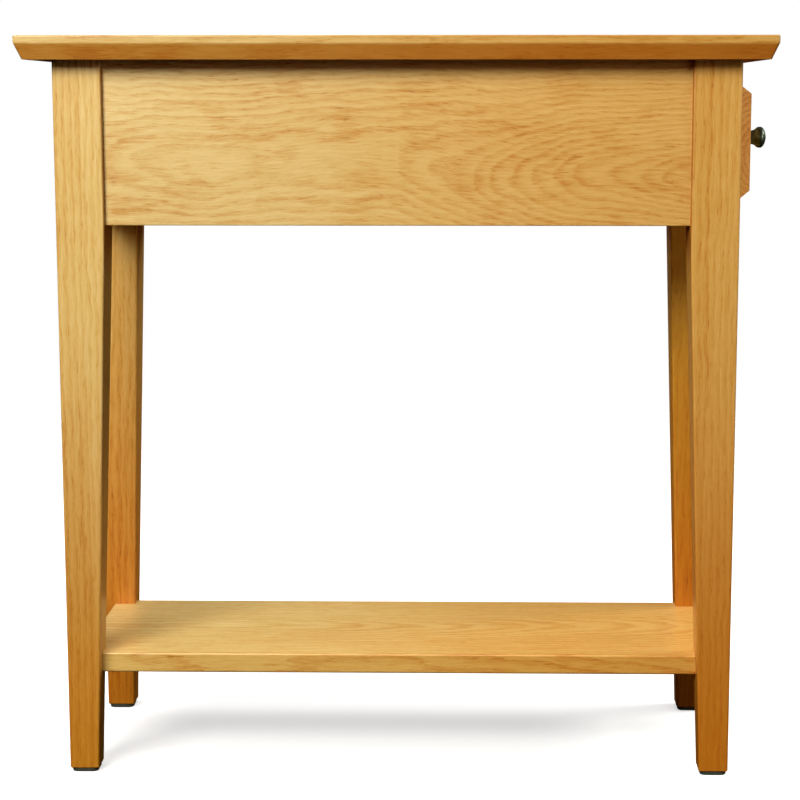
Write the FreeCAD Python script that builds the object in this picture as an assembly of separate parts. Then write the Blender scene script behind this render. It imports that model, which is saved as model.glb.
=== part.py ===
import FreeCAD, Part
import math
import os

# A narrow side table: four tapered legs, a bevelled top, one drawer that opens towards -Y
# and a low shelf notched round the legs. Millimetres, +Z up, +X to the right of somebody
# facing the drawer. The origin is on the floor, under the middle of the top.

# ---- top
top_length = 610.0            # along Y
top_width = 258.0             # along X
table_height = 618.0
top_band = 6.0                # upright edge of the top
bevel_drop = 13.0             # the undercut bevel below the band
bevel_inset = 5.5
top_corner = 2.0
top_arris = 1.2
overhang = 25.5               # from the legs' outer faces to the edge of the top

# ---- legs and feet
leg_size = 40.0               # square at the aprons
leg_foot = 24.5               # square at the floor
leg_arris = 1.8
foot_arris = 1.2
pad_height = 3.0
pad_corner = 5.0
pad_edge = 0.8

# ---- aprons and rails
apron_height = 134.0
apron_thickness = 18.0
apron_recess = 4.5            # how far the aprons stand back from the legs' outer faces
apron_arris = 1.0
rail_thickness = 18.0
top_rail_height = 28.5
bottom_rail_height = 29.0
rail_arris = 0.6

# ---- shelf
shelf_top = 101.5
shelf_thickness = 17.0
shelf_inset_side = 12.5       # from the legs' outer faces, along X
shelf_inset_end = 8.5         # the same, along Y
shelf_arris = 1.8
shelf_notch_gap = 0.1

# ---- drawer runners and kickers
runner_thickness = 14.0       # below the drawer's sides
runner_width = 17.5           # how far a runner reaches under the drawer from the guide face
guide_height = 20.0           # above the runner, beside the drawer
stop_rail_thickness = 18.0

# ---- drawer
drawer_depth = 420.0          # of the box behind the front
drawer_hold = 120.0           # how much less than its box's depth the drawer travels
side_play = 1.5               # between a drawer side and the leg beside it
top_play = 2.5
slide_gap = 0.4               # between the moving and the fixed wood
drawer_lap = 8.0              # how far the front covers the wood round its opening
lip_thickness = 3.2
front_bevel = 6.4             # width of the bevel round the front, seen from the front
front_bevel_depth = 8.9
tongue_thickness = 9.0        # the part of the front that enters the opening
front_arris = 0.5
side_thickness = 12.0
back_thickness = 12.0
bottom_thickness = 4.0
bottom_lift = 8.0             # from the drawer's lower edge to the bottom board
groove_depth = 5.0
groove_gap = 0.1
stop_width = 30.0
stop_thickness = 8.0
stop_overlap = 28.0           # how far the stop reaches down the drawer's back
stop_rise = 14.0              # how far it stands above the drawer's back

# ---- knob
knob_rise = 3.0               # of the knob's axis above the middle of the front
knob_base_radius = 7.2
knob_base_band = 1.2
knob_neck_radius = 5.6
knob_neck_at = 6.0            # distances from the drawer front's face
knob_rim_radius = 9.0
knob_rim_at = 16.8
knob_shoulder = 0.45          # share of the flare that is reached half way along it
knob_length = 21.6
knob_dome_steps = 6

# ---- dowels and screws
glue_fit = 0.05               # radial clearance of dowels and screws in their holes
dowel_radius = 4.0
dowel_depth = 16.0            # into each piece
dowel_edge = 30.0             # from an apron's edges to its dowels
rail_dowel_pitch = 14.0
small_dowel_radius = 3.0
small_dowel_depth = 12.0
dowel_chamfer = 0.6
screw_radius = 1.9
screw_head_radius = 3.8
screw_head_height = 2.4
screw_point = 2.0             # length of a screw's point, in shank radii
screw_tip = 0.25              # radius of the point's blunt end, in shank radii
screw_bite = 12.0             # length of thread in the piece that is held
screw_slot = 0.9
screw_slot_depth = 1.0
counterbore_radius = 5.0
counterbore_depth = 8.0
counterbore_gap = 0.1
top_screw_pitch = 180.0
kicker_screw_pitch = 200.0
runner_screw_pitch = 190.0
bottom_screw_bite = 14.0
stop_screw_pitch = 16.0
stop_screw_bite = 9.0
knob_screw_radius = 2.0
knob_screw_head_radius = 4.2
knob_screw_bite = 11.0
knob_screw_play = 0.3

# ---- places worked out from the sizes above
top_thickness = top_band + bevel_drop
underside = table_height - top_thickness
apron_bottom = underside - apron_height
leg_out_x = top_width / 2 - overhang
leg_out_y = top_length / 2 - overhang
leg_in_x = leg_out_x - leg_size
leg_in_y = leg_out_y - leg_size
apron_out_x = leg_out_x - apron_recess
apron_in_x = apron_out_x - apron_thickness
rear_out_y = leg_out_y - apron_recess
rear_in_y = rear_out_y - apron_thickness
rail_front_y = -leg_out_y
rail_back_y = rail_front_y + rail_thickness
opening_bottom = apron_bottom + bottom_rail_height
opening_top = underside - top_rail_height
shelf_bottom = shelf_top - shelf_thickness
shelf_x = leg_out_x - shelf_inset_side
shelf_y = leg_out_y - shelf_inset_end

box_x = leg_in_x - side_play
box_in_x = box_x - side_thickness
box_bottom = opening_bottom + slide_gap
box_top = opening_top - top_play
lip_back_y = rail_front_y - slide_gap
lip_front_y = lip_back_y - lip_thickness
face_y = lip_front_y - front_bevel_depth
tongue_back_y = lip_back_y + tongue_thickness
front_x = leg_in_x + drawer_lap
front_bottom = opening_bottom - drawer_lap
front_top = opening_top + drawer_lap
box_end_y = tongue_back_y + drawer_depth
back_front_y = box_end_y - back_thickness
bottom_low = box_bottom + bottom_lift
bottom_high = bottom_low + bottom_thickness
stop_front_y = back_front_y - stop_thickness
drawer_travel = drawer_depth - drawer_hold
knob_z = (front_bottom + front_top) / 2 + knob_rise
runner_in_x = leg_in_x - runner_width
stop_rail_back_y = stop_front_y - slide_gap - drawer_travel

along_x = FreeCAD.Vector(1, 0, 0)
along_y = FreeCAD.Vector(0, 1, 0)
along_z = FreeCAD.Vector(0, 0, 1)


# ---- shapes that the pieces are made of
def point(x, y, z):
    return FreeCAD.Vector(x, y, z)


def block(x_low, x_high, y_low, y_high, z_low, z_high):
    return Part.makeBox(x_high - x_low, y_high - y_low, z_high - z_low, point(x_low, y_low, z_low))


def mirrored_block(side, x_low, x_high, y_low, y_high, z_low, z_high):
    """A block given for the right-hand side, put on the side asked for: -1 left, 1 right."""
    if side > 0:
        return block(x_low, x_high, y_low, y_high, z_low, z_high)
    return block(-x_high, -x_low, y_low, y_high, z_low, z_high)


def rounded_rectangle(x_low, x_high, y_low, y_high, z, radius):
    """A level outline with round corners, anticlockwise from its lower edge."""
    reach = radius * (1 - math.sqrt(0.5))
    corners = [
        (point(x_high - radius, y_low, z), point(x_high - reach, y_low + reach, z),
         point(x_high, y_low + radius, z)),
        (point(x_high, y_high - radius, z), point(x_high - reach, y_high - reach, z),
         point(x_high - radius, y_high, z)),
        (point(x_low + radius, y_high, z), point(x_low + reach, y_high - reach, z),
         point(x_low, y_high - radius, z)),
        (point(x_low, y_low + radius, z), point(x_low + reach, y_low + reach, z),
         point(x_low + radius, y_low, z)),
    ]
    edges = []
    last = corners[-1][2]
    for start, middle, end in corners:
        edges.append(Part.makeLine(last, start))
        edges.append(Part.Arc(start, middle, end).toShape())
        last = end
    return Part.Wire(edges)


def upright_rectangle(x_half, z_low, z_high, y):
    """An outline in a plane that faces the front."""
    return Part.makePolygon([
        point(-x_half, y, z_low), point(x_half, y, z_low),
        point(x_half, y, z_high), point(-x_half, y, z_high), point(-x_half, y, z_low),
    ])


def eased(shape, radius, wanted):
    """Rounds the edges for which wanted(edge's bounding box) is true."""
    edges = [edge for edge in shape.Edges if wanted(edge.BoundBox)]
    return shape.makeFillet(radius, edges)


def peg(centre, direction, radius, half_length, chamfer):
    """A round pin centred on a point, with its ends eased by a chamfer where one is given."""
    start = centre - direction * half_length
    pin = Part.makeCylinder(radius, 2 * half_length, start, direction)
    if chamfer > 0:
        pin = pin.makeChamfer(chamfer, [edge for edge in pin.Edges if edge.Closed])
    return pin


def screw(seat, direction, radius, head_radius, length, slot):
    """A slotted screw: a cone head whose rim is at the seat, a shank and a short point."""
    point_length = screw_point * radius
    head = Part.makeCone(head_radius, radius, screw_head_height)
    shank = Part.makeCylinder(radius, length - point_length - screw_head_height,
                              point(0, 0, screw_head_height))
    tip = Part.makeCone(radius, screw_tip * radius, point_length,
                        point(0, 0, length - point_length))
    whole = head.fuse([shank, tip]).removeSplitter()
    if slot > 0:
        whole = whole.cut(Part.makeBox(2 * head_radius, slot, screw_slot_depth,
                                       point(-head_radius, -slot / 2, 0)))
    whole.Placement = FreeCAD.Placement(seat, FreeCAD.Rotation(along_z, direction))
    return whole


def screw_hole(seat, direction, radius, head_radius, length):
    return screw(seat, direction, radius + glue_fit, head_radius + glue_fit, length + glue_fit, 0)


# ---- where the dowels and screws go: each list gives points and directions
def apron_dowel_places():
    heights = (apron_bottom + dowel_edge, underside - dowel_edge)
    side_middle = (apron_in_x + apron_out_x) / 2
    rear_middle = (rear_in_y + rear_out_y) / 2
    places = []
    for height in heights:
        for side in (-1, 1):
            for end in (-1, 1):
                places.append((point(side * side_middle, end * leg_in_y, height), along_y))
            places.append((point(side * leg_in_x, rear_middle, height), along_x))
    return places


def rail_dowel_places():
    middles = ((apron_bottom + opening_bottom) / 2, (opening_top + underside) / 2)
    rail_middle = (rail_front_y + rail_back_y) / 2
    return [
        (point(side * leg_in_x, rail_middle, middle + up * rail_dowel_pitch / 2), along_x)
        for middle in middles for side in (-1, 1) for up in (-1, 1)
    ]


def leg_size_at(height):
    share = (height - pad_height) / (apron_bottom - pad_height)
    return leg_foot + (leg_size - leg_foot) * min(share, 1.0)


def shelf_dowel_places():
    middle = (shelf_bottom + shelf_top) / 2
    size = leg_size_at(middle)
    x = (leg_out_x - size + shelf_x) / 2
    return [
        (point(side * x, end * (leg_out_y - size), middle), along_y)
        for side in (-1, 1) for end in (-1, 1)
    ]


def stop_rail_dowel_places():
    y = stop_rail_back_y - stop_rail_thickness / 2
    middle = (opening_top + underside) / 2
    return [(point(side * runner_in_x, y, middle), along_x) for side in (-1, 1)]


def drawer_dowel_places():
    """Front to sides, then sides to back: two dowels at each of the four corners."""
    x = (box_in_x + box_x) / 2
    y = (back_front_y + box_end_y) / 2
    quarter = (box_top - bottom_high) / 4
    heights = (bottom_high + quarter, box_top - quarter)
    front = [(point(side * x, tongue_back_y, z), along_y) for side in (-1, 1) for z in heights]
    back = [(point(side * box_in_x, y, z), along_x) for side in (-1, 1) for z in heights]
    return front, back


def top_screw_places():
    x = (runner_in_x + apron_in_x) / 2
    seat = opening_top + counterbore_depth
    return [
        (point(side * x, row * top_screw_pitch, seat), along_z)
        for side in (-1, 1) for row in (-1, 0, 1)
    ]


def kicker_screw_places():
    z = (opening_top + underside) / 2
    x = runner_in_x + counterbore_depth
    return [
        (point(side * x, row * kicker_screw_pitch / 2, z), along_x * side)
        for side in (-1, 1) for row in (-1, 1)
    ]


def runner_screw_places():
    z = opening_bottom + guide_height / 2
    return [
        (point(side * leg_in_x, row * runner_screw_pitch, z), along_x * side)
        for side in (-1, 1) for row in (-1, 0, 1)
    ]


def bottom_screw_places():
    y = (back_front_y + box_end_y) / 2
    return [(point(side * box_in_x / 2, y, bottom_low), along_z) for side in (-1, 1)]


def stop_screw_places():
    z = box_top - stop_overlap / 2
    return [(point(side * stop_screw_pitch / 2, stop_front_y, z), along_y) for side in (-1, 1)]


top_screw_length = underside - opening_top - counterbore_depth + screw_bite
kicker_screw_length = apron_in_x - runner_in_x - counterbore_depth + screw_bite
runner_screw_length = apron_in_x - leg_in_x + screw_bite
bottom_screw_length = bottom_thickness + bottom_screw_bite
stop_screw_length = stop_thickness + stop_screw_bite
knob_screw_length = tongue_back_y - face_y + knob_screw_bite


def pegs(places, radius, depth):
    return Part.makeCompound([
        peg(centre, direction, radius, depth, dowel_chamfer) for centre, direction in places
    ])


def peg_holes(places, radius, depth):
    return [
        peg(centre, direction, radius + glue_fit, depth + glue_fit, 0)
        for centre, direction in places
    ]


def screws(places, length):
    return Part.makeCompound([
        screw(seat, direction, screw_radius, screw_head_radius, length, screw_slot)
        for seat, direction in places
    ])


def screw_holes(places, length):
    return [
        screw_hole(seat, direction, screw_radius, screw_head_radius, length)
        for seat, direction in places
    ]


def counterbores(places):
    """Wide holes that let a screw's head in, from the surface down to its seat."""
    return [
        Part.makeCylinder(counterbore_radius, counterbore_depth + counterbore_gap,
                          seat - direction * counterbore_depth, direction)
        for seat, direction in places
    ]


# ---- the pieces
def tabletop():
    half_x = top_width / 2
    half_y = top_length / 2
    outlines = []
    for height, inset in ((underside, bevel_inset), (table_height - top_band, 0.0),
                          (table_height, 0.0)):
        outlines.append(rounded_rectangle(-half_x + inset, half_x - inset, -half_y + inset,
                                          half_y - inset, height, top_corner))
    board = Part.makeLoft(outlines, True, True)
    board = eased(board, top_arris, lambda box: box.ZMin > table_height - top_arris)
    return board.cut(screw_holes(top_screw_places(), top_screw_length))


def leg_outline(side, end, height, size, inset, gap):
    outer_x = side * (leg_out_x - inset)
    outer_y = end * (leg_out_y - inset)
    inner_x = side * (leg_out_x - size + inset - gap)
    inner_y = end * (leg_out_y - size + inset - gap)
    return rounded_rectangle(min(outer_x, inner_x), max(outer_x, inner_x),
                             min(outer_y, inner_y), max(outer_y, inner_y), height, leg_arris)


def leg_blank(side, end, gap):
    """Outer faces upright, inner faces tapering from the aprons down to the foot."""
    eased_height = pad_height + foot_arris
    outlines = [
        leg_outline(side, end, pad_height, leg_foot, foot_arris, gap),
        leg_outline(side, end, eased_height, leg_size_at(eased_height), 0.0, gap),
        leg_outline(side, end, apron_bottom, leg_size, 0.0, gap),
        leg_outline(side, end, underside, leg_size, 0.0, gap),
    ]
    return Part.makeLoft(outlines, True, True)


def leg(side, end):
    holes = peg_holes(apron_dowel_places() + rail_dowel_places() + shelf_dowel_places(),
                      dowel_radius, dowel_depth)
    return leg_blank(side, end, 0.0).cut(holes)


def foot_pad(side, end):
    flat = leg_foot - 2 * foot_arris
    centre_x = side * (leg_out_x - leg_foot / 2)
    centre_y = end * (leg_out_y - leg_foot / 2)
    outline = rounded_rectangle(centre_x - flat / 2, centre_x + flat / 2,
                                centre_y - flat / 2, centre_y + flat / 2, 0.0, pad_corner)
    pad = Part.Face(outline).extrude(along_z * pad_height)
    return eased(pad, pad_edge, lambda box: box.ZMax < pad_edge)


def side_apron(side):
    board = mirrored_block(side, apron_in_x, apron_out_x, -leg_in_y, leg_in_y,
                           apron_bottom, underside)
    board = eased(board, apron_arris,
                  lambda box: box.ZMax < apron_bottom + apron_arris and box.YLength > leg_in_y)
    holes = peg_holes(apron_dowel_places(), dowel_radius, dowel_depth)
    holes += screw_holes(runner_screw_places(), runner_screw_length)
    holes += screw_holes(kicker_screw_places(), kicker_screw_length)
    return board.cut(holes)


def rear_apron():
    board = block(-leg_in_x, leg_in_x, rear_in_y, rear_out_y, apron_bottom, underside)
    board = eased(board, apron_arris,
                  lambda box: box.ZMax < apron_bottom + apron_arris and box.XLength > leg_in_x)
    return board.cut(peg_holes(apron_dowel_places(), dowel_radius, dowel_depth))


def front_rail(low, high):
    board = block(-leg_in_x, leg_in_x, rail_front_y, rail_back_y, low, high)
    board = eased(board, rail_arris,
                  lambda box: box.YMax < rail_front_y + rail_arris and box.XLength > leg_in_x)
    return board.cut(peg_holes(rail_dowel_places(), dowel_radius, dowel_depth))


def shelf_corner_x():
    """Clears what would be left of the board's corner outside the leg's rounded inner edge."""
    return leg_out_x - leg_size_at(shelf_bottom) + leg_arris


def shelf_corner_y():
    return leg_out_y - leg_size_at(shelf_bottom) + leg_arris


def lower_shelf():
    board = block(-shelf_x, shelf_x, -shelf_y, shelf_y, shelf_bottom, shelf_top)
    board = eased(board, shelf_arris, lambda box: box.ZLength < shelf_thickness / 2)
    notches = [leg_blank(side, end, shelf_notch_gap) for side in (-1, 1) for end in (-1, 1)]
    corners = [
        block(min(side * leg_out_x, side * shelf_corner_x()),
              max(side * leg_out_x, side * shelf_corner_x()),
              min(end * leg_out_y, end * shelf_corner_y()),
              max(end * leg_out_y, end * shelf_corner_y()), shelf_bottom, shelf_top)
        for side in (-1, 1) for end in (-1, 1)
    ]
    return board.cut(notches + corners + peg_holes(shelf_dowel_places(), dowel_radius, dowel_depth))


def drawer_runner(side):
    """An L-shaped bar on the apron: a ledge under the drawer's side and a guide beside it."""
    ledge = mirrored_block(side, runner_in_x, apron_in_x, -leg_in_y, leg_in_y,
                           opening_bottom - runner_thickness, opening_bottom)
    guide = mirrored_block(side, leg_in_x, apron_in_x, -leg_in_y, leg_in_y,
                           opening_bottom, opening_bottom + guide_height)
    bar = ledge.fuse(guide).removeSplitter()
    return bar.cut(screw_holes(runner_screw_places(), runner_screw_length))


def kicker(side):
    """A bar above the drawer's side. It stops the drawer tipping, and holds the top down."""
    bar = mirrored_block(side, runner_in_x, apron_in_x, -leg_in_y, leg_in_y,
                         opening_top, underside)
    holes = counterbores(top_screw_places() + kicker_screw_places())
    holes += screw_holes(top_screw_places(), top_screw_length)
    holes += screw_holes(kicker_screw_places(), kicker_screw_length)
    holes += peg_holes(stop_rail_dowel_places(), small_dowel_radius, small_dowel_depth)
    return bar.cut(holes)


def stop_rail():
    """The drawer's stop comes up against this bar when the drawer is fully open."""
    bar = block(-runner_in_x, runner_in_x, stop_rail_back_y - stop_rail_thickness,
                stop_rail_back_y, opening_top, underside)
    return bar.cut(peg_holes(stop_rail_dowel_places(), small_dowel_radius, small_dowel_depth))


def bottom_groove():
    return block(-box_in_x - groove_depth, box_in_x + groove_depth,
                 tongue_back_y - groove_depth, box_end_y,
                 bottom_low - groove_gap, bottom_high + groove_gap)


def drawer_front():
    """A lipped front: a tongue in the opening, a thin lip over it and a bevelled field."""
    tongue = block(-box_x, box_x, lip_back_y, tongue_back_y, box_bottom, box_top)
    outlines = [
        upright_rectangle(front_x, front_bottom, front_top, lip_back_y),
        upright_rectangle(front_x, front_bottom, front_top, lip_front_y),
        upright_rectangle(front_x - front_bevel, front_bottom + front_bevel,
                          front_top - front_bevel, face_y),
    ]
    panel = Part.makeLoft(outlines, True, True)
    panel = eased(panel, front_arris, lambda box: box.YMax < lip_back_y - front_arris)
    board = panel.fuse(tongue).removeSplitter()
    centre = point(0, (face_y + tongue_back_y) / 2, knob_z)
    knob_hole = peg(centre, along_y, knob_screw_radius + knob_screw_play, tongue_back_y - face_y, 0)
    dowels = peg_holes(drawer_dowel_places()[0], small_dowel_radius, small_dowel_depth)
    return board.cut([knob_hole, bottom_groove()] + dowels)


def drawer_side(side):
    board = mirrored_block(side, box_in_x, box_x, tongue_back_y, box_end_y, box_bottom, box_top)
    board = eased(board, front_arris,
                  lambda box: box.ZMin > box_top - front_arris and box.YLength > drawer_depth / 2)
    front, back = drawer_dowel_places()
    dowels = peg_holes(front, small_dowel_radius, small_dowel_depth)
    dowels += peg_holes(back, small_dowel_radius, side_thickness / 2)
    return board.cut([bottom_groove()] + dowels)


def drawer_back():
    board = block(-box_in_x, box_in_x, back_front_y, box_end_y, bottom_high, box_top)
    holes = peg_holes(drawer_dowel_places()[1], small_dowel_radius, side_thickness / 2)
    holes += screw_holes(bottom_screw_places(), bottom_screw_length)
    holes += screw_holes(stop_screw_places(), stop_screw_length)
    return board.cut(holes)


def drawer_bottom():
    reach = groove_depth - groove_gap
    board = block(-box_in_x - reach, box_in_x + reach, tongue_back_y - reach, box_end_y,
                  bottom_low, bottom_high)
    return board.cut(screw_holes(bottom_screw_places(), bottom_screw_length))


def drawer_stop():
    bar = block(-stop_width / 2, stop_width / 2, stop_front_y, back_front_y,
                box_top - stop_overlap, box_top + stop_rise)
    return bar.cut(screw_holes(stop_screw_places(), stop_screw_length))


def drawer_knob():
    """A turned knob: a narrow waist flaring to a rim, closed by half an ellipsoid."""
    def at(distance, radius):
        return point(0, face_y - distance, knob_z + radius)

    foot = [at(0, 0), at(0, knob_base_radius), at(knob_base_band, knob_base_radius)]
    flare = Part.BSplineCurve()
    shoulder = knob_neck_radius + knob_shoulder * (knob_rim_radius - knob_neck_radius)
    flare.interpolate(
        Points=[foot[2], at(knob_neck_at, knob_neck_radius),
                at((knob_neck_at + knob_rim_at) / 2 + knob_base_band, shoulder),
                at(knob_rim_at, knob_rim_radius)],
        InitialTangent=point(0, -1, -1), FinalTangent=point(0, -1, 0))
    dome_height = knob_length - knob_rim_at
    turns = [math.pi / 2 * step / knob_dome_steps for step in range(knob_dome_steps + 1)]
    dome = Part.BSplineCurve()
    dome.interpolate(
        Points=[at(knob_rim_at + dome_height * math.sin(turn), knob_rim_radius * math.cos(turn))
                for turn in turns],
        InitialTangent=point(0, -1, 0), FinalTangent=point(0, 0, -1))
    outline = Part.Wire([
        Part.makeLine(foot[0], foot[1]), Part.makeLine(foot[1], foot[2]), flare.toShape(),
        dome.toShape(), Part.makeLine(at(knob_length, 0), foot[0]),
    ])
    turned = Part.Face(outline).revolve(point(0, face_y, knob_z), along_y, 360)
    if turned.Volume < 0:
        turned.reverse()
    hole = peg(point(0, face_y, knob_z), along_y, knob_screw_radius + glue_fit,
               knob_screw_bite + glue_fit, 0)
    return turned.cut(hole)


def knob_screw():
    """A machine screw from inside the drawer, its flat head against the front's back face."""
    seat = point(0, tongue_back_y, knob_z)
    shank = Part.makeCylinder(knob_screw_radius, knob_screw_length, seat, along_y * -1)
    head = Part.makeCylinder(knob_screw_head_radius, screw_head_height, seat, along_y)
    slot = block(-knob_screw_head_radius, knob_screw_head_radius,
                 tongue_back_y + screw_head_height - screw_slot_depth,
                 tongue_back_y + screw_head_height,
                 knob_z - screw_slot / 2, knob_z + screw_slot / 2)
    return shank.fuse(head).removeSplitter().cut(slot)


def build():
    pieces = {"tabletop": tabletop()}
    for end, end_name in ((-1, "front"), (1, "rear")):
        for side, side_name in ((-1, "left"), (1, "right")):
            pieces["leg_%s_%s" % (end_name, side_name)] = leg(side, end)
            pieces["foot_pad_%s_%s" % (end_name, side_name)] = foot_pad(side, end)
    for side, side_name in ((-1, "left"), (1, "right")):
        pieces["apron_" + side_name] = side_apron(side)
        pieces["drawer_runner_" + side_name] = drawer_runner(side)
        pieces["kicker_" + side_name] = kicker(side)
        pieces["drawer_side_" + side_name] = drawer_side(side)
    pieces["apron_rear"] = rear_apron()
    pieces["front_rail_top"] = front_rail(opening_top, underside)
    pieces["front_rail_bottom"] = front_rail(apron_bottom, opening_bottom)
    pieces["lower_shelf"] = lower_shelf()
    pieces["stop_rail"] = stop_rail()
    pieces["apron_dowels"] = pegs(apron_dowel_places(), dowel_radius, dowel_depth)
    pieces["rail_dowels"] = pegs(rail_dowel_places(), dowel_radius, dowel_depth)
    pieces["shelf_dowels"] = pegs(shelf_dowel_places(), dowel_radius, dowel_depth)
    pieces["stop_rail_dowels"] = pegs(stop_rail_dowel_places(), small_dowel_radius,
                                      small_dowel_depth)
    pieces["top_screws"] = screws(top_screw_places(), top_screw_length)
    pieces["kicker_screws"] = screws(kicker_screw_places(), kicker_screw_length)
    pieces["runner_screws"] = screws(runner_screw_places(), runner_screw_length)
    pieces["drawer_front"] = drawer_front()
    pieces["drawer_back"] = drawer_back()
    pieces["drawer_bottom"] = drawer_bottom()
    pieces["drawer_stop"] = drawer_stop()
    front, back = drawer_dowel_places()
    pieces["drawer_front_dowels"] = pegs(front, small_dowel_radius, small_dowel_depth)
    pieces["drawer_back_dowels"] = pegs(back, small_dowel_radius, side_thickness / 2)
    pieces["drawer_bottom_screws"] = screws(bottom_screw_places(), bottom_screw_length)
    pieces["drawer_stop_screws"] = screws(stop_screw_places(), stop_screw_length)
    pieces["drawer_knob"] = drawer_knob()
    pieces["knob_screw"] = knob_screw()
    return pieces


os.makedirs("parts", exist_ok=True)
for node_name, node_shape in build().items():
    node_shape.exportStep("parts/%s.step" % node_name)
    print(node_name, len(node_shape.Solids), round(node_shape.Volume), node_shape.isValid())
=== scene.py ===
import math

import bpy
import numpy as np
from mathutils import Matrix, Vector


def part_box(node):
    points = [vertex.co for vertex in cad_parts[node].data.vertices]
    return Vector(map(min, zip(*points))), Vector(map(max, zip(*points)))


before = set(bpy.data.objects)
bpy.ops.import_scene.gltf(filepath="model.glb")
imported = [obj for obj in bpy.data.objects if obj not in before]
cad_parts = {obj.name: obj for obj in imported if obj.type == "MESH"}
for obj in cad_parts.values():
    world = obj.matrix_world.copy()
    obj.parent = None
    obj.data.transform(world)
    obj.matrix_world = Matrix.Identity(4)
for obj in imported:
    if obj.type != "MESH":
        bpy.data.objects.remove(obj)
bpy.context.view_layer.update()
print("frame loaded:", len(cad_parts), "nodes")

axes = {"x": 0, "y": 1, "z": 2}


def paint(red, green, blue):
    # a colour as it reads on a screen, 0 to 255, turned into the linear values that shaders use
    screen = [channel / 255 for channel in (red, green, blue)]
    linear = [c / 12.92 if c < 0.04045 else ((c + 0.055) / 1.055) ** 2.4 for c in screen]
    return tuple(linear + [1.0])


# camera, level with the drawer on the table's long side
cameraSettings = {
    "place": (-1.7407, -0.0584, 0.5670),  # metres, looking along +X
    "heading": 1.042,                     # degrees from +X towards +Y
    "tilt": -8.380,                       # degrees, negative looks down
    "lens": 90.14,                        # millimetres
    "sensor": 36,                         # millimetres
    "shift": (-0.0397, -0.0063),
    "clip": (0.05, 100),                  # metres
}


def makeCamera(settings):
    data = bpy.data.cameras.new("camera")
    data.sensor_width = settings["sensor"]
    data.lens = settings["lens"]
    data.shift_x, data.shift_y = settings["shift"]
    data.clip_start, data.clip_end = settings["clip"]
    camera = bpy.data.objects.new("camera", data)
    camera.location = settings["place"]
    # an unturned camera looks down: tip it up to level, then turn it from +Y round to the heading
    camera.rotation_euler = (math.radians(90 + settings["tilt"]), 0,
                             math.radians(settings["heading"] - 90))
    bpy.context.scene.collection.objects.link(camera)
    bpy.context.scene.camera = camera


makeCamera(cameraSettings)


# node kit: sockets with arithmetic, and one method that makes any node
class Num:
    def __init__(self, shader, socket):
        self.shader = shader
        self.socket = socket

    def math(self, operation, *values):
        return self.shader.node("ShaderNodeMath", {"operation": operation},
                                dict(enumerate((self,) + values)))

    def __add__(self, other):
        return self.math("ADD", other)

    def __sub__(self, other):
        return self.math("SUBTRACT", other)

    def __mul__(self, other):
        return self.math("MULTIPLY", other)

    def __truediv__(self, other):
        return self.math("DIVIDE", other)

    def __rsub__(self, other):
        return self.shader.node("ShaderNodeMath", {"operation": "SUBTRACT"}, {0: other, 1: self})

    __radd__ = __add__
    __rmul__ = __mul__

    def between(self, low, high):
        # 0 below low, 1 above high, and an S-curve from one to the other
        return self.shader.node("ShaderNodeMapRange", {"interpolation_type": "SMOOTHSTEP"},
                                {0: self, 1: low, 2: high, 3: 0.0, 4: 1.0})


class Shader:
    def __init__(self, name):
        self.material = bpy.data.materials.new(name)
        self.material.use_nodes = True
        self.tree = self.material.node_tree
        self.tree.nodes.clear()

    def node(self, kind, settings=None, inputs=None, output=0):
        made = self.tree.nodes.new(kind)
        for key, value in (settings or {}).items():
            if key == "stops":
                self.fillRamp(made.color_ramp, value)
            else:
                setattr(made, key, value)
        for socket, value in (inputs or {}).items():
            if isinstance(value, Num):
                self.tree.links.new(value.socket, made.inputs[socket])
            else:
                made.inputs[socket].default_value = value
        return Num(self, made.outputs[output])

    def fillRamp(self, ramp, stops):
        while len(ramp.elements) < len(stops):
            ramp.elements.new(0.5)
        for element, (position, colour) in zip(ramp.elements, stops):
            element.position = position
            element.color = colour

    def noise(self, vector, detail=2.0, rough=0.5):
        return self.node("ShaderNodeTexNoise", {"noise_dimensions": "3D"},
                         {"Vector": vector, "Scale": 1.0, "Detail": detail, "Roughness": rough})

    def mapped(self, vector, scale, shift=(0, 0, 0)):
        return self.node("ShaderNodeMapping", {"vector_type": "POINT"},
                         {"Vector": vector, "Scale": scale, "Location": shift})

    def vector(self, x, y, z):
        return self.node("ShaderNodeCombineXYZ", None, {0: x, 1: y, 2: z})

    def parts(self, vector):
        split = self.node("ShaderNodeSeparateXYZ", None, {0: vector}).socket.node
        return [Num(self, socket) for socket in split.outputs]

    def white(self, value):
        return self.node("ShaderNodeTexWhiteNoise", {"noise_dimensions": "1D"}, {"W": value})

    def slope(self, value, start, full):
        # 0 at start and 1 at full, whichever of the two is the larger
        return self.node("ShaderNodeMapRange", {"interpolation_type": "SMOOTHSTEP"},
                         {0: value, 1: min(start, full), 2: max(start, full),
                          3: 0.0 if full > start else 1.0, 4: 1.0 if full > start else 0.0})

    def mix(self, factor, first, second, blend="MIX"):
        return self.node("ShaderNodeMix", {"data_type": "RGBA", "blend_type": blend},
                         {0: factor, 6: first, 7: second}, output=2)

    def finish(self, surface):
        # surface holds the Principled shader's own sockets by name, linked or constant
        return self.output(self.node("ShaderNodeBsdfPrincipled", None, surface))

    def output(self, surface):
        end = self.tree.nodes.new("ShaderNodeOutputMaterial")
        self.tree.links.new(surface.socket, end.inputs["Surface"])
        return self.material


# wood: from the palest part of each tone to the darkest
woodTones = {
    "honey": [(0.0, paint(244, 217, 150)), (0.35, paint(232, 197, 122)),
              (0.65, paint(217, 163, 84)), (1.0, paint(168, 108, 40))],
    "amber": [(0.0, paint(241, 208, 134)), (0.35, paint(229, 187, 103)),
              (0.65, paint(212, 153, 68)), (1.0, paint(160, 98, 30))],
    "plain": [(0.0, paint(240, 222, 180)), (0.5, paint(226, 200, 150)),
              (1.0, paint(190, 155, 104))],
}

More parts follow.
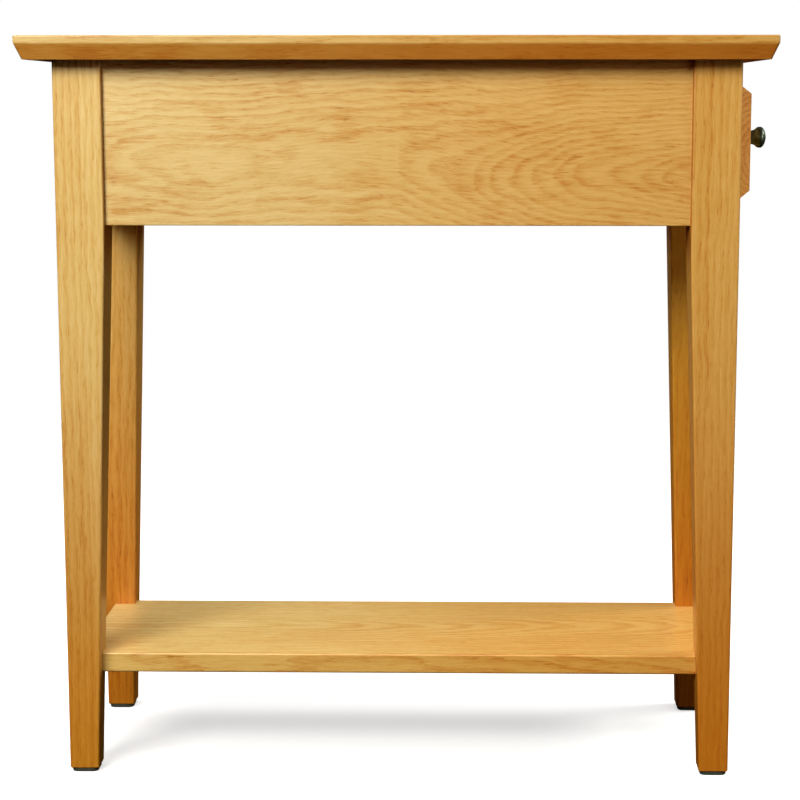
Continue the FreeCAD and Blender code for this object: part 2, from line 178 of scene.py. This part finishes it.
boardSettings = {
    "grain": "y", "across": "z", "depth": "x",  # axes of the board's length, width and depth
    "centre": (0.0, 0.0, 0.0),   # where the pattern is measured from: length, width, depth
    "pith": 0.045,               # metres through the board from there to the heart of the tree
    "lean": 0.0,                 # how fast that distance changes along the board, below leanFrom:
    "leanFrom": 0.0,             # this draws cathedral arches
    "wave": 0.010,               # metres that the rings wander, which draws islands
    "waveLength": 0.16,
    "drift": 0.010,              # metres that the grain strays sideways
    "ring": 0.0045,              # width of a year's growth
    "stave": 0.0,                # width of each glued strip, 0 for one whole board
    "staveStart": 0.0,
    "shade": 0.0,                # moves the whole board towards the darker tones
    "contrast": 1.0,
    "fleck": 1.0,                # strength of the amber patches
    "stains": (),                # each: axis, where it starts, where it is full, its colour; mostly painted shade
    "seed": 0.0,
    "tone": "honey",
    "polish": 1.0,               # 0 for bare wood
}

woodNoises = {
    # waves in a metre along, across and through the board, then where the noise starts
    "side": ((3.2, 2, 2), (5, 3, 1)),
    "ripple": ((48, 420, 420), (0, 0, 0)),
    "curl": ((24, 60, 60), (2, 9, 5)),
    "fibre": ((46, 700, 700), (1, 2, 3)),
    "streak": ((13, 230, 230), (4, 5, 6)),
    "figure": ((19, 52, 52), (7, 8, 9)),
    "cloud": ((4, 12, 12), (2, 4, 8)),
    "dash": ((110, 950, 950), (3, 6, 9)),
}

woodWeights = {
    # how far each part of the pattern moves the tone, where 1 is from the palest to the darkest
    "start": 0.30, "lateWood": 0.21, "year": 0.06, "streak": 0.30, "fibre": 0.95, "fleck": 0.10,
    "cloud": 0.35, "pores": 0.24, "endGrain": 0.22, "strip": 0.25,
    "lateWoodMean": 0.4,
    "wanderAcross": 11,          # waves in a metre of the rings' wander, across the grain
    "curl": 0.006,               # metres that the curl moves the grain
    "ringRipple": 0.9,           # rings' widths that the ripple moves an edge
    "fleckRipple": 0.3,          # how far the ripple breaks up the amber patches
    "lateWoodRise": (0.15, 0.80),  # parts of a year in which the wood darkens
    "lateWoodFall": (0.84, 1.0),   # and turns pale again
    "poreEdge": (0.54, 0.70),
    "fleckEdge": (0.52, 0.60),
    "endGrainEdge": (0.75, 0.97),  # how squarely a face cuts the grain
    "stripStep": 7.31,           # metres of pattern between one glued strip and the next
}

woodGloss = {
    "polished": 0.30, "polishedFibre": 0.14, "polishedPores": 0.12,  # roughness
    "bare": 0.52, "bareFibre": 0.16,
    "bumpPolished": 0.4, "bumpBare": 0.6, "bumpHeight": 0.0003,
    "poreDepth": 0.5, "fibreDepth": 0.4, "lateWoodDepth": 0.1,
    "ior": 1.45, "coat": 0.3, "coatRoughness": 0.16, "coatIor": 1.5,
}


def makeWood(name, **changes):
    board = dict(boardSettings, **changes)
    weights = woodWeights
    gloss = woodGloss
    shader = Shader(name)
    objectPlace = shader.node("ShaderNodeTexCoord", None, None, output=3)
    objectNormal = shader.node("ShaderNodeTexCoord", None, None, output=1)
    split = shader.parts(objectPlace)
    along, wide, deep = [split[axes[board[key]]] - centre
                         for key, centre in zip(("grain", "across", "depth"), board["centre"])]

    def woodNoise(key, vector, **settings):
        scale, shift = woodNoises[key]
        return shader.noise(shader.mapped(vector, scale, shift), **settings)

    # strips glued side by side: each takes its own stretch of the pattern and its own tone
    shift, stripTone = board["seed"], 0.0
    if board["stave"] > 0:
        fromFirst = split[axes[board["across"]]] - board["staveStart"]
        strip = (fromFirst / board["stave"]).math("FLOOR")
        shift = strip * weights["stripStep"] + board["seed"]
        stripTone = (shader.white(strip + board["seed"]) - 0.5) * weights["strip"]
    place = shader.vector(along + shift, wide, deep)
    # rings are cylinders round a wandering heart line:
    # radius = length of (width, depth to the heart)
    wander = (1 / board["waveLength"], weights["wanderAcross"], weights["wanderAcross"])
    low = shader.noise(shader.mapped(place, wander), detail=2.0, rough=0.45)
    side = woodNoise("side", place, detail=1.0)
    ripple = woodNoise("ripple", place, detail=3.0, rough=0.6)
    curl = woodNoise("curl", place, detail=2.0)
    lateral = wide + (side - 0.5) * (2 * board["drift"]) + (curl - 0.5) * weights["curl"]
    nearer = (along - board["leanFrom"]).math("MINIMUM", 0.0) * board["lean"]
    toHeart = nearer + deep + (low - 0.5) * (2 * board["wave"]) + board["pith"]
    radius = shader.node("ShaderNodeVectorMath", {"operation": "LENGTH"},
                         {0: shader.vector(lateral, toHeart, 0.0)}, output=1)
    years = radius / board["ring"] + (ripple - 0.5) * weights["ringRipple"]
    part = years.math("FRACT")
    lateWood = part.between(*weights["lateWoodRise"]) * (1 - part.between(*weights["lateWoodFall"]))
    yearTone = shader.white(years.math("FLOOR") + shift)
    # fibres, pores and broad figure, all drawn out along the grain
    grain = shader.vector(along + shift, lateral, deep)
    fibre = woodNoise("fibre", grain, detail=3.0, rough=0.75)
    streak = woodNoise("streak", place, detail=2.0)
    figure = woodNoise("figure", place, detail=3.0, rough=0.55)
    cloud = woodNoise("cloud", place, detail=1.0)
    dash = woodNoise("dash", grain, detail=2.0)
    pores = dash.between(*weights["poreEdge"]) * (0.5 + 0.5 * lateWood)
    amber = (figure + (ripple - 0.5) * weights["fleckRipple"]).between(*weights["fleckEdge"])
    facing = shader.parts(objectNormal)[axes[board["grain"]]].math("ABSOLUTE")
    endGrain = facing.between(*weights["endGrainEdge"])
    contrast = board["contrast"]
    depthOfTone = (weights["start"] + board["shade"]
                   + (lateWood - weights["lateWoodMean"]) * (weights["lateWood"] * contrast)
                   + (yearTone - 0.5) * (weights["year"] * contrast)
                   + (streak - 0.5) * (weights["streak"] * contrast)
                   + (fibre - 0.5) * weights["fibre"]
                   + amber * (weights["fleck"] * board["fleck"]) + (cloud - 0.5) * weights["cloud"]
                   + pores * weights["pores"] + endGrain * weights["endGrain"] + stripTone)
    tones = woodTones[board["tone"]]
    colour = shader.node("ShaderNodeValToRGB", {"stops": tones}, {0: depthOfTone})
    # painted shade, mostly: each entry multiplies the colour by its own, from where it starts to
    # where it is full
    for axis, start, full, stain in board["stains"]:
        colour = shader.mix(shader.slope(split[axes[axis]], start, full), colour, stain, "MULTIPLY")
    polished = board["polish"] > 0
    if polished:
        roughness = (gloss["polished"] + fibre * gloss["polishedFibre"]
                     + pores * gloss["polishedPores"])
    else:
        roughness = gloss["bare"] + fibre * gloss["bareFibre"]
    height = ((1 - pores) * gloss["poreDepth"] + fibre * gloss["fibreDepth"]
              + (1 - lateWood) * gloss["lateWoodDepth"])
    bump = shader.node("ShaderNodeBump", None, {
        "Strength": gloss["bumpPolished"] if polished else gloss["bumpBare"],
        "Distance": gloss["bumpHeight"], "Height": height})
    return shader.finish({
        "Base Color": colour, "Roughness": roughness, "Normal": bump, "IOR": gloss["ior"],
        "Coat Weight": gloss["coat"] * board["polish"], "Coat Roughness": gloss["coatRoughness"],
        "Coat IOR": gloss["coatIor"],
    })


# metal and rubber: cast skin, scratches and grain are all noises on the piece's own place
knobFinish = {
    "dark": paint(70, 80, 66), "worn": paint(108, 123, 104),
    "castScale": 420, "wornScale": 150, "wornStart": (3, 1, 2), "wornEdge": (0.35, 0.75),
    "metallic": 0.85, "roughness": 0.30, "roughnessVaries": 0.16,
    "bump": 0.25, "bumpHeight": 0.0002,
}


def makeKnobMetal(finish):
    shader = Shader("knobMetal")
    place = shader.node("ShaderNodeTexCoord", None, None, output=3)
    cast = shader.noise(shader.mapped(place, [finish["castScale"]] * 3), detail=3.0, rough=0.6)
    worn = shader.noise(shader.mapped(place, [finish["wornScale"]] * 3, finish["wornStart"]),
                        detail=2.0)
    colour = shader.mix(worn.between(*finish["wornEdge"]), finish["dark"], finish["worn"])
    bump = shader.node("ShaderNodeBump", None, {
        "Strength": finish["bump"], "Distance": finish["bumpHeight"], "Height": cast})
    return shader.finish({
        "Base Color": colour, "Metallic": finish["metallic"], "Normal": bump,
        "Roughness": finish["roughness"] + cast * finish["roughnessVaries"],
    })


steelFinish = {
    "dark": paint(196, 190, 172), "light": paint(226, 222, 208),
    "scratchScale": (900, 900, 300), "roughness": 0.28, "roughnessVaries": 0.2,
}


def makeScrewSteel(finish):
    shader = Shader("screwSteel")
    place = shader.node("ShaderNodeTexCoord", None, None, output=3)
    scratch = shader.noise(shader.mapped(place, finish["scratchScale"]), detail=3.0, rough=0.7)
    colour = shader.mix(scratch, finish["dark"], finish["light"])
    return shader.finish({
        "Base Color": colour, "Metallic": 1.0,
        "Roughness": finish["roughness"] + scratch * finish["roughnessVaries"],
    })


rubberFinish = {
    "dark": paint(44, 50, 40), "light": paint(78, 86, 72),
    "grainScale": 900, "grainEdge": (0.3, 0.7),
    "roughness": 0.72, "roughnessVaries": 0.15, "bump": 0.5, "bumpHeight": 0.0002,
}


def makeFootRubber(finish):
    shader = Shader("footRubber")
    place = shader.node("ShaderNodeTexCoord", None, None, output=3)
    grain = shader.noise(shader.mapped(place, [finish["grainScale"]] * 3), detail=3.0, rough=0.65)
    colour = shader.mix(grain.between(*finish["grainEdge"]), finish["dark"], finish["light"])
    bump = shader.node("ShaderNodeBump", None, {
        "Strength": finish["bump"], "Distance": finish["bumpHeight"], "Height": grain})
    return shader.finish({
        "Base Color": colour, "Normal": bump,
        "Roughness": finish["roughness"] + grain * finish["roughnessVaries"],
    })


# boards: each dictionary says which way the piece was cut, and "board" goes to makeWood
topLow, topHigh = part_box("tabletop")
apronLow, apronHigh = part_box("apron_left")
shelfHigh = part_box("lower_shelf")[1]


def middle(node):
    lowest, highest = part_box(node)
    return [(a + b) / 2 for a, b in zip(lowest, highest)]


def coat(node, material):
    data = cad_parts[node].data
    data.materials.clear()
    data.materials.append(material)


# painted shade: towards the drawer end, which the key lamp lights less, the wood is painted more
# orange, and towards the feet, where less light reaches, it is painted deeper
paintedShadeTowardsDrawer = ("y", 0.24, -0.20, (1.0, 0.80, 0.54, 1))
paintedShadeTowardsFeet = ("z", 0.46, -0.02, (0.86, 0.50, 0.10, 1))

apronCut = {
    "heartAbove": 0.045,         # metres from the apron's lower edge to the heart line
    "pith": 0.060, "lean": 0.20,
    "board": {"grain": "y", "across": "z", "depth": "x", "wave": 0.013, "waveLength": 0.11,
              "drift": 0.030, "ring": 0.0043, "contrast": 0.9, "fleck": 1.4,
              "stains": [paintedShadeTowardsDrawer]},
    "seeds": {"left": 1.0, "right": 23.0},
}

for sideName, seed in apronCut["seeds"].items():
    sign = -1 if sideName == "left" else 1
    centre = (0.0, apronLow[2] + apronCut["heartAbove"], sign * abs(apronLow[0]))
    coat("apron_" + sideName, makeWood(
        "apronWood_" + sideName, centre=centre, pith=-sign * apronCut["pith"],
        lean=-sign * apronCut["lean"], seed=seed, **apronCut["board"]))
print("aprons done")

rearCut = {
    "grain": "x", "across": "z", "depth": "y", "pith": 0.05, "tone": "amber", "seed": 31.0,
    "centre": (0.0, apronLow[2] + 0.05, middle("apron_rear")[1]),
}

coat("apron_rear", makeWood("rearWood", **rearCut))

railCut = {
    "heartBelow": 0.03,          # metres from the middle of the rail down to the heart line
    "board": {"grain": "x", "across": "z", "depth": "y", "pith": 0.09, "tone": "amber",
              "stains": [paintedShadeTowardsDrawer]},
    "seeds": {"top": 41.0, "bottom": 47.0},
}

for railName, seed in railCut["seeds"].items():
    node = "front_rail_" + railName
    centre = (0.0, middle(node)[2] - railCut["heartBelow"], middle(node)[1])
    coat(node, makeWood("railWood_" + railName, centre=centre, seed=seed, **railCut["board"]))
print("rails done")

bevelTop = topHigh[2] - 0.006    # below the top's upright edge
topCut = {
    "grain": "y", "across": "x", "depth": "z", "centre": (0.0, 0.03, topHigh[2]),
    "pith": -0.06, "lean": 0.04, "leanFrom": 0.3, "wave": 0.008, "drift": 0.012,
    "ring": 0.0046, "stave": 0.086, "staveStart": topLow[0], "contrast": 1.1,
    "tone": "amber", "seed": 61.0,
    "stains": [paintedShadeTowardsDrawer,    # painted shade: the bevel and underside, which face down, are much deeper; everything below the top face is also a little darker
               ("z", bevelTop, bevelTop - 0.002, (0.80, 0.52, 0.24, 1)),
               ("z", topHigh[2] - 0.0003, topHigh[2] - 0.0015, (0.90, 0.88, 0.84, 1))],
}

coat("tabletop", makeWood("topWood", **topCut))
print("top done")

shelfCut = {
    "edgeStart": 0.0030, "edgeFull": 0.0008,  # metres in from the long edges, where the painted shade starts and where it is full
    "edgeShadeColour": (0.74, 0.64, 0.46, 1),
    "board": {"grain": "y", "across": "x", "depth": "z", "centre": (-0.004, 0.0, shelfHigh[2]),
              "pith": 0.025, "lean": -0.10, "leanFrom": 0.08, "wave": 0.007, "waveLength": 0.13,
              "drift": 0.018, "ring": 0.0044, "contrast": 1.2, "fleck": 0.5, "seed": 71.0},
}

# painted shade: the shelf's long edges are made darker than its top, which the lamps light more
paintedEdgeShade = [("x", side * (shelfHigh[0] - shelfCut["edgeStart"]),
               side * (shelfHigh[0] - shelfCut["edgeFull"]), shelfCut["edgeShadeColour"])
              for side in (-1, 1)]
coat("lower_shelf", makeWood("shelfWood", stains=[paintedShadeTowardsDrawer] + paintedEdgeShade,
                             **shelfCut["board"]))
print("shelf done")

legCut = {
    "heartAside": 0.07,          # metres from the middle of the leg to the heart line
    "strip": 0.0226,             # width of each of the leg's glued strips, from its outer face
    "board": {"grain": "z", "across": "y", "depth": "x", "pith": 0.09, "wave": 0.004,
              "drift": 0.006, "ring": 0.0042, "contrast": 0.9, "fleck": 0.5, "tone": "amber"},
    # painted shade: the legs on the far side, which the top and aprons shade, are deeper in tone
    "farLegShade": {"front": ("x", 0.02, 0.05, (0.80, 0.74, 0.34, 1)),
                  "rear": ("x", 0.02, 0.05, (0.98, 0.86, 0.66, 1))},
    # painted shade: the leg faces in the recess where the aprons meet the legs are darkened
    "recessShadeStart": 0.0016, "recessShadeFull": 0.0003, "recessShadeColour": (0.60, 0.40, 0.20, 1),
    "firstSeed": 80.0, "seedStep": 9.0,
}

seed = legCut["firstSeed"]
for end in ("front", "rear"):
    for sideName in ("left", "right"):
        node = "leg_%s_%s" % (end, sideName)
        legLow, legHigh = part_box(node)
        outer = legLow[1] if end == "front" else legHigh[1]
        inward = 1 if end == "front" else -1
        # painted shade in the recess beside the apron's end
        recessShade = ("y", -inward * (apronHigh[1] + legCut["recessShadeStart"]),
                  -inward * (apronHigh[1] + legCut["recessShadeFull"]), legCut["recessShadeColour"])
        coat(node, makeWood(
            "legWood_%s_%s" % (end, sideName),
            centre=(0.0, middle(node)[1] + legCut["heartAside"], middle(node)[0]),
            stave=legCut["strip"], staveStart=outer + legCut["strip"] * inward,
            stains=[paintedShadeTowardsDrawer, paintedShadeTowardsFeet, legCut["farLegShade"][end], recessShade],
            seed=seed, **legCut["board"]))
        seed += legCut["seedStep"]
print("legs done")

drawerFrontCut = {
    "grain": "x", "across": "z", "depth": "y", "pith": 0.05, "lean": 0.08, "leanFrom": 0.3,
    "centre": (0.0, middle("drawer_front")[2] - 0.01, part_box("drawer_front")[0][1]),
    # painted shade: the front is set deeper and more orange, as a face the lamps light less
    "tone": "amber", "shade": 0.08, "stains": [("y", 0.0, -0.2, (1.0, 0.74, 0.44, 1))],
    "seed": 121.0,
}

coat("drawer_front", makeWood("drawerFrontWood", **drawerFrontCut))

# the drawer box and the pieces that it runs on are bare
drawerSideCut = {
    "board": {"grain": "y", "across": "z", "depth": "x", "pith": 0.07, "tone": "plain",
              "polish": 0},
    "seeds": {"drawer_side_left": 131.0, "drawer_side_right": 137.0},
}

for node, seed in drawerSideCut["seeds"].items():
    coat(node, makeWood(node + "Wood", centre=(0.0, middle(node)[2], middle(node)[0]),
                        seed=seed, **drawerSideCut["board"]))

acrossCut = {
    "board": {"grain": "x", "across": "z", "depth": "y", "centre": (0.0, 0.5, 0.0),
              "pith": 0.07, "tone": "plain", "polish": 0, "seed": 141.0},
    "nodes": ("drawer_back", "drawer_stop", "stop_rail", "stop_rail_dowels", "rail_dowels",
              "drawer_back_dowels"),
}
alongCut = {
    "board": {"grain": "y", "across": "z", "depth": "x", "centre": (0.0, 0.5, 0.0),
              "pith": 0.11, "tone": "plain", "polish": 0, "seed": 151.0},
    "nodes": ("drawer_runner_left", "drawer_runner_right", "kicker_left", "kicker_right",
              "apron_dowels", "shelf_dowels", "drawer_front_dowels"),
}

for name, cut in (("plainWoodAcross", acrossCut), ("plainWoodAlong", alongCut)):
    plainWood = makeWood(name, **cut["board"])
    for node in cut["nodes"]:
        coat(node, plainWood)

plyCut = {
    "grain": "x", "across": "y", "depth": "z", "centre": (0.0, -0.05, 0.5), "pith": 0.05,
    "wave": 0.02, "ring": 0.009, "tone": "plain", "polish": 0, "seed": 161.0,
}

coat("drawer_bottom", makeWood("plyWood", **plyCut))
print("drawer done")

steel = makeScrewSteel(steelFinish)
for node in ("top_screws", "kicker_screws", "runner_screws", "drawer_bottom_screws",
             "drawer_stop_screws", "knob_screw"):
    coat(node, steel)
coat("drawer_knob", makeKnobMetal(knobFinish))
rubber = makeFootRubber(rubberFinish)
for node in ("foot_pad_front_left", "foot_pad_front_right", "foot_pad_rear_left",
             "foot_pad_rear_right"):
    coat(node, rubber)
print("metal and rubber done")


# studio: a pale floor, a white backdrop and soft lights
allButShelf = tuple(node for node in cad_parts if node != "lower_shelf")
studio = {
    "floorColours": (paint(240, 239, 237), paint(244, 243, 242)),
    "floorSpecks": (3, 3, 3),    # waves in a metre between the two colours
    "floorReach": 2.4,
    "floorFade": (0.8, 2.4),     # metres from the middle where it starts to fade, and is gone
    "floorLight": 1.9,           # strength of the light that falls on the floor alone
    "floorLightSpread": 75,      # degrees
    "floorGlow": 0.56,           # keeps shadows on the floor pale
    "floorRoughness": 0.8,
    "circleSteps": 64,
    "backdropSize": 30.0,
    "backdropRings": 25,
    "backdropGap": 0.01,         # radians left open at the backdrop's poles
    "backdrop": 1.0,
    "skyAbove": 0.14,            # strength of the soft light from overhead, and from below
    "skyBelow": 0.002,
    "skyRise": (0.0, 0.8),       # heights between which the sky brightens, where 1 is overhead
    "skyColour": (1.0, 0.99, 0.975, 1),
    "lights": [
        # name, place, aim, width, height, watts, colour, the nodes it is kept to
        ("key", (-1.65, 0.9, 1.33), (0.0, 0.0, 0.42), 1.1, 0.62, 36.5, (1.0, 0.98, 0.95), ()),
        ("upper", (-1.45, 0.8, 1.85), (0.0, 0.0, 0.42), 0.9, 0.7, 6.0, (1.0, 0.96, 0.93), ()),
        ("fill", (-1.2, -1.7, 0.75), (0.0, 0.1, 0.35), 0.6, 0.6, 5.0, (1.0, 0.84, 0.60), ()),
        ("back", (2.1, 0.7, 1.5), (0.0, 0.0, 0.35), 1.2, 1.0, 30.0, (1.0, 0.98, 0.96),
         allButShelf),
        ("front", (0.35, -2.1, 1.5), (0.0, 0.0, 0.42), 0.9, 0.8, 26.0, (1.0, 0.98, 0.95), ()),
        ("shelfWash", (-0.75, 0.15, 0.95), (0.0, 0.0, 0.10), 0.9, 0.4, 7.4, (1.0, 0.99, 0.88),
         ("lower_shelf",)),
        ("drawerWash", (-0.95, -1.35, 0.75), (0.0, -0.29, 0.52), 0.4, 0.5, 4.5,
         (1.0, 0.97, 0.93), ("drawer_front", "drawer_knob")),
    ],
}


def makePiece(name, points, faces):
    mesh = bpy.data.meshes.new(name)
    mesh.from_pydata(points.tolist(), [], [list(face) for face in faces])
    piece = bpy.data.objects.new(name, mesh)
    bpy.context.scene.collection.objects.link(piece)
    return piece


def circle(steps):
    # (cosine, sine) of each turn, once round
    turns = np.linspace(0, 2 * np.pi, steps + 1)[:-1]
    return np.cos(turns), np.sin(turns)


def makeRings(name, rings, steps):
    # a surface of revolution about the z axis: one circle for each (radius, height)
    across, along = circle(steps)
    radius, height = np.array(rings).T
    points = np.stack([np.outer(radius, across), np.outer(radius, along),
                       np.outer(height, np.ones(steps))], axis=-1).reshape(-1, 3)
    row, column = np.meshgrid(np.arange(len(rings) - 1), np.arange(steps), indexing="ij")
    following = (column + 1) % steps
    faces = np.stack([row * steps + column, row * steps + following,
                      (row + 1) * steps + following, (row + 1) * steps + column],
                     axis=-1).reshape(-1, 4)
    return makePiece(name, points, faces)


def makeFloor(settings):
    across, along = circle(settings["circleSteps"])
    rim = np.stack([across, along, np.zeros(len(across))], axis=-1)
    floor = makePiece("floor", rim * settings["floorReach"], [range(len(across))])
    shader = Shader("floorPaint")
    place = shader.node("ShaderNodeTexCoord", None, None, output=3)
    speck = shader.noise(shader.mapped(place, settings["floorSpecks"]), detail=2.0)
    colour = shader.mix(speck, *settings["floorColours"])
    reach = shader.node("ShaderNodeVectorMath", {"operation": "LENGTH"}, {0: place}, output=1)
    floor.data.materials.append(shader.finish({
        "Base Color": colour, "Roughness": settings["floorRoughness"], "Specular IOR Level": 0.0,
        "Alpha": 1 - reach.between(*settings["floorFade"]),
        "Emission Color": (1, 1, 1, 1), "Emission Strength": settings["floorGlow"]}))
    floor.visible_diffuse = False
    floor.visible_glossy = False
    return floor


def makeBackdrop(settings):
    # a white sphere all round that is seen but casts no light of its own
    nearlyUp = math.pi / 2 - settings["backdropGap"]
    lifts = np.linspace(-nearlyUp, nearlyUp, settings["backdropRings"])
    size = settings["backdropSize"]
    backdrop = makeRings("backdrop", [(size * math.cos(lift), size * math.sin(lift))
                                      for lift in lifts], settings["circleSteps"])
    shader = Shader("backdropPaint")
    white = shader.node("ShaderNodeEmission", None,
                        {"Color": (1, 1, 1, 1), "Strength": settings["backdrop"]})
    backdrop.data.materials.append(shader.output(white))
    backdrop.visible_diffuse = False
    backdrop.visible_glossy = False
    backdrop.visible_shadow = False
    return backdrop


def makeSky(settings):
    # brighter overhead than below, so undersides stay dark
    world = bpy.data.worlds.new("sky")
    bpy.context.scene.world = world
    world.use_nodes = True
    tree = world.node_tree
    coordinate = tree.nodes.new("ShaderNodeTexCoord")
    split = tree.nodes.new("ShaderNodeSeparateXYZ")
    tree.links.new(coordinate.outputs["Generated"], split.inputs[0])
    rise = tree.nodes.new("ShaderNodeMapRange")
    rise.interpolation_type = "SMOOTHSTEP"
    values = settings["skyRise"] + (settings["skyBelow"], settings["skyAbove"])
    for socket, value in zip(rise.inputs[1:5], values):
        socket.default_value = value
    tree.links.new(split.outputs[2], rise.inputs[0])
    tree.links.new(rise.outputs[0], tree.nodes["Background"].inputs["Strength"])
    tree.nodes["Background"].inputs["Color"].default_value = settings["skyColour"]


def keepLight(lamp, pieces):
    # light linking: only these pieces are lit by the lamp
    lit = bpy.data.collections.new(lamp.name + "Receivers")
    for piece in pieces:
        lit.objects.link(piece)
    lamp.light_linking.receiver_collection = lit


def makeLamp(name, spot, aim, width, height, watts, tint, kept):
    data = bpy.data.lights.new(name, "AREA")
    data.shape = "RECTANGLE"
    data.size, data.size_y = width, height
    data.energy = watts
    data.color = tint
    lamp = bpy.data.objects.new(name, data)
    lamp.location = spot
    lamp.rotation_euler = (Vector(aim) - Vector(spot)).to_track_quat("-Z", "Y").to_euler()
    bpy.context.scene.collection.objects.link(lamp)
    if kept:
        keepLight(lamp, [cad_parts[node] for node in kept])


def makeFloorLight(settings, floor):
    # very soft light from overhead that falls on the floor alone, so that it stays pale
    data = bpy.data.lights.new("floorWash", "SUN")
    data.energy = settings["floorLight"]
    data.angle = math.radians(settings["floorLightSpread"])
    lamp = bpy.data.objects.new("floorWash", data)
    bpy.context.scene.collection.objects.link(lamp)
    keepLight(lamp, [floor])


bpy.context.scene.view_settings.view_transform = "Standard"
floor = makeFloor(studio)
makeBackdrop(studio)
makeSky(studio)
for light in studio["lights"]:
    makeLamp(*light)
makeFloorLight(studio, floor)
print("studio done")
